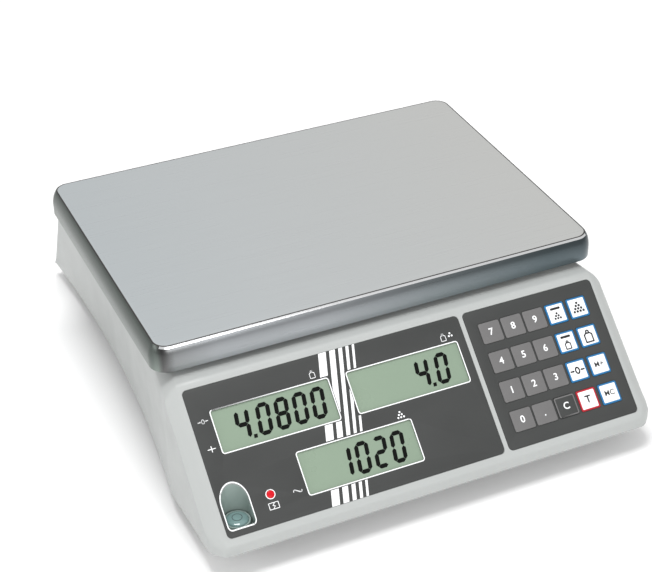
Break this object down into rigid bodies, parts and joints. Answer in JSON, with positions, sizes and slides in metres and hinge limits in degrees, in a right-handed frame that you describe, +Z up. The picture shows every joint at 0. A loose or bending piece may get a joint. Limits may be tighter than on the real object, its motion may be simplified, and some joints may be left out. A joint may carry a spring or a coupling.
{
  "type": "counting scale",
  "caption": "Bench counting scale: flat metal weighing pan over a waisted housing with a sloping panel of keys and three displays.",
  "frame": {"origin": "on the ground, below the middle of the scale's footprint", "axes": "+Z up, +X to the user's right, -Y towards the user and the sloping panel"},
  "size_m": [0.3, 0.36, 0.11],
  "materials": {
    "pan_steel": "brushed stainless sheet",
    "rubber": "matt black rubber",
    "cast_aluminium": "bare die casting",
    "steel": "zinc plated",
    "aluminium": "clear anodised",
    "housing_plastic": "light grey, fine spark texture",
    "tray_plastic": "grey, fine texture",
    "film": "dark grey matt overlay film",
    "grey_key": "mid grey, satin",
    "white_key": "white, satin",
    "board": "green solder mask on glass fibre",
    "dome_steel": "thin sprung discs",
    "lcd_glass": "grey-green liquid crystal panel",
    "battery_case": "black battery case",
    "level_plastic": "clear moulding",
    "vial": "green spirit under a domed glass",
    "led": "red lens",
    "black_plastic": "black moulding",
    "cable": "black insulated lead"
  },
  "bodies": {
    "housing": {"load_cell": "aluminium", "load_cell_spacer": "steel", "load_cell_bolts": "steel", "overload_stops": "steel", "chassis_plate": "steel", "chassis_screws": "steel", "upper_housing": "housing_plastic", "base_tray": "tray_plastic", "housing_screws": "steel", "display_film": "film", "keypad_film": "film", "keypad_board": "board", "key_domes": "dome_steel", "lcd_weight": "lcd_glass", "lcd_unit_weight": "lcd_glass", "lcd_pieces": "lcd_glass", "display_board": "board", "board_screws": "steel", "main_board": "board", "battery": "battery_case", "battery_cover": "tray_plastic", "level_body": "level_plastic", "level_vial": "vial", "charge_led": "led", "power_switch_frame": "black_plastic", "dc_inlet": "black_plastic", "internal_wiring": "cable"},
    "carrier": {"pan_carrier": "cast_aluminium", "pan_pads": "rubber", "carrier_bolts": "steel"},
    "pan": {"weighing_pan": "pan_steel"},
    "rocker": {"power_rocker": "black_plastic"},
    "key_7": {"key_7": "grey_key"},
    "key_8": {"key_8": "grey_key"},
    "key_9": {"key_9": "grey_key"},
    "key_ref_pieces": {"key_ref_pieces": "white_key"},
    "key_pieces": {"key_pieces": "white_key"},
    "key_4": {"key_4": "grey_key"},
    "key_5": {"key_5": "grey_key"},
    "key_6": {"key_6": "grey_key"},
    "key_ref_weight": {"key_ref_weight": "white_key"},
    "key_weight": {"key_weight": "white_key"},
    "key_1": {"key_1": "grey_key"},
    "key_2": {"key_2": "grey_key"},
    "key_3": {"key_3": "grey_key"},
    "key_set_zero": {"key_set_zero": "white_key"},
    "key_memory_add": {"key_memory_add": "white_key"},
    "key_0": {"key_0": "grey_key"},
    "key_point": {"key_point": "grey_key"},
    "key_clear_entry": {"key_clear_entry": "grey_key"},
    "key_tare": {"key_tare": "white_key"},
    "key_memory_clear": {"key_memory_clear": "white_key"},
    "foot_pad_front_left": {"foot_pad_front_left": "rubber"},
    "foot_screw_front_left": {"foot_screw_front_left": "black_plastic"},
    "foot_pad_front_right": {"foot_pad_front_right": "rubber"},
    "foot_screw_front_right": {"foot_screw_front_right": "black_plastic"},
    "foot_pad_rear_left": {"foot_pad_rear_left": "rubber"},
    "foot_screw_rear_left": {"foot_screw_rear_left": "black_plastic"},
    "foot_pad_rear_right": {"foot_pad_rear_right": "rubber"},
    "foot_screw_rear_right": {"foot_screw_rear_right": "black_plastic"}
  },
  "joints": [
    {"name": "weighing_travel", "type": "slide", "parent": "housing", "child": "carrier", "axis": [0, 0, 1], "range_m": [-0.0004, 0], "stiffness_N_per_m": 75000, "springref_m": 0.00016},
    {"name": "pan_lift_off", "type": "slide", "parent": "carrier", "child": "pan", "axis": [0, 0, 1], "range_m": [0, 0.12]},
    {"name": "power_rocker_tilt", "type": "hinge", "parent": "housing", "child": "rocker", "pos_m": [0.098, 0.1555, 0.038], "axis": [1, 0, 0], "range_deg": [-20, 0]},
    {"name": "key_7_press", "type": "slide", "parent": "housing", "child": "key_7", "axis": [0, 0.6652, -0.7466], "range_m": [0, 0.00045], "stiffness_N_per_m": 800},
    {"name": "key_8_press", "type": "slide", "parent": "housing", "child": "key_8", "axis": [0, 0.6652, -0.7466], "range_m": [0, 0.00045], "stiffness_N_per_m": 800},
    {"name": "key_9_press", "type": "slide", "parent": "housing", "child": "key_9", "axis": [0, 0.6652, -0.7466], "range_m": [0, 0.00045], "stiffness_N_per_m": 800},
    {"name": "key_ref_pieces_press", "type": "slide", "parent": "housing", "child": "key_ref_pieces", "axis": [0, 0.6652, -0.7466], "range_m": [0, 0.00045], "stiffness_N_per_m": 800},
    {"name": "key_pieces_press", "type": "slide", "parent": "housing", "child": "key_pieces", "axis": [0, 0.6652, -0.7466], "range_m": [0, 0.00045], "stiffness_N_per_m": 800},
    {"name": "key_4_press", "type": "slide", "parent": "housing", "child": "key_4", "axis": [0, 0.6652, -0.7466], "range_m": [0, 0.00045], "stiffness_N_per_m": 800},
    {"name": "key_5_press", "type": "slide", "parent": "housing", "child": "key_5", "axis": [0, 0.6652, -0.7466], "range_m": [0, 0.00045], "stiffness_N_per_m": 800},
    {"name": "key_6_press", "type": "slide", "parent": "housing", "child": "key_6", "axis": [0, 0.6652, -0.7466], "range_m": [0, 0.00045], "stiffness_N_per_m": 800},
    {"name": "key_ref_weight_press", "type": "slide", "parent": "housing", "child": "key_ref_weight", "axis": [0, 0.6652, -0.7466], "range_m": [0, 0.00045], "stiffness_N_per_m": 800},
    {"name": "key_weight_press", "type": "slide", "parent": "housing", "child": "key_weight", "axis": [0, 0.6652, -0.7466], "range_m": [0, 0.00045], "stiffness_N_per_m": 800},
    {"name": "key_1_press", "type": "slide", "parent": "housing", "child": "key_1", "axis": [0, 0.6652, -0.7466], "range_m": [0, 0.00045], "stiffness_N_per_m": 800},
    {"name": "key_2_press", "type": "slide", "parent": "housing", "child": "key_2", "axis": [0, 0.6652, -0.7466], "range_m": [0, 0.00045], "stiffness_N_per_m": 800},
    {"name": "key_3_press", "type": "slide", "parent": "housing", "child": "key_3", "axis": [0, 0.6652, -0.7466], "range_m": [0, 0.00045], "stiffness_N_per_m": 800},
    {"name": "key_set_zero_press", "type": "slide", "parent": "housing", "child": "key_set_zero", "axis": [0, 0.6652, -0.7466], "range_m": [0, 0.00045], "stiffness_N_per_m": 800},
    {"name": "key_memory_add_press", "type": "slide", "parent": "housing", "child": "key_memory_add", "axis": [0, 0.6652, -0.7466], "range_m": [0, 0.00045], "stiffness_N_per_m": 800},
    {"name": "key_0_press", "type": "slide", "parent": "housing", "child": "key_0", "axis": [0, 0.6652, -0.7466], "range_m": [0, 0.00045], "stiffness_N_per_m": 800},
    {"name": "key_point_press", "type": "slide", "parent": "housing", "child": "key_point", "axis": [0, 0.6652, -0.7466], "range_m": [0, 0.00045], "stiffness_N_per_m": 800},
    {"name": "key_clear_entry_press", "type": "slide", "parent": "housing", "child": "key_clear_entry", "axis": [0, 0.6652, -0.7466], "range_m": [0, 0.00045], "stiffness_N_per_m": 800},
    {"name": "key_tare_press", "type": "slide", "parent": "housing", "child": "key_tare", "axis": [0, 0.6652, -0.7466], "range_m": [0, 0.00045], "stiffness_N_per_m": 800},
    {"name": "key_memory_clear_press", "type": "slide", "parent": "housing", "child": "key_memory_clear", "axis": [0, 0.6652, -0.7466], "range_m": [0, 0.00045], "stiffness_N_per_m": 800},
    {"name": "foot_height_front_left", "type": "slide", "parent": "housing", "child": "foot_pad_front_left", "axis": [0, 0, 1], "range_m": [-0.006, 0.0015]},
    {"name": "foot_turn_front_left", "type": "hinge", "parent": "foot_pad_front_left", "child": "foot_screw_front_left", "pos_m": [-0.118, -0.138, 0.008], "axis": [0, 0, 1], "range_deg": [-1730, 434]},
    {"name": "foot_height_front_right", "type": "slide", "parent": "housing", "child": "foot_pad_front_right", "axis": [0, 0, 1], "range_m": [-0.006, 0.0015]},
    {"name": "foot_turn_front_right", "type": "hinge", "parent": "foot_pad_front_right", "child": "foot_screw_front_right", "pos_m": [0.118, -0.138, 0.008], "axis": [0, 0, 1], "range_deg": [-1730, 434]},
    {"name": "foot_height_rear_left", "type": "slide", "parent": "housing", "child": "foot_pad_rear_left", "axis": [0, 0, 1], "range_m": [-0.006, 0.0015]},
    {"name": "foot_turn_rear_left", "type": "hinge", "parent": "foot_pad_rear_left", "child": "foot_screw_rear_left", "pos_m": [-0.112, 0.146, 0.008], "axis": [0, 0, 1], "range_deg": [-1730, 434]},
    {"name": "foot_height_rear_right", "type": "slide", "parent": "housing", "child": "foot_pad_rear_right", "axis": [0, 0, 1], "range_m": [-0.006, 0.0015]},
    {"name": "foot_turn_rear_right", "type": "hinge", "parent": "foot_pad_rear_right", "child": "foot_screw_rear_right", "pos_m": [0.112, 0.146, 0.008], "axis": [0, 0, 1], "range_deg": [-1730, 434]}
  ],
  "couplings": [
    {"joint": "foot_turn_front_left", "follows": "foot_height_front_left", "rad_per_m": 5026.5},
    {"joint": "foot_turn_front_right", "follows": "foot_height_front_right", "rad_per_m": 5026.5},
    {"joint": "foot_turn_rear_left", "follows": "foot_height_rear_left", "rad_per_m": 5026.5},
    {"joint": "foot_turn_rear_right", "follows": "foot_height_rear_right", "rad_per_m": 5026.5}
  ]
}
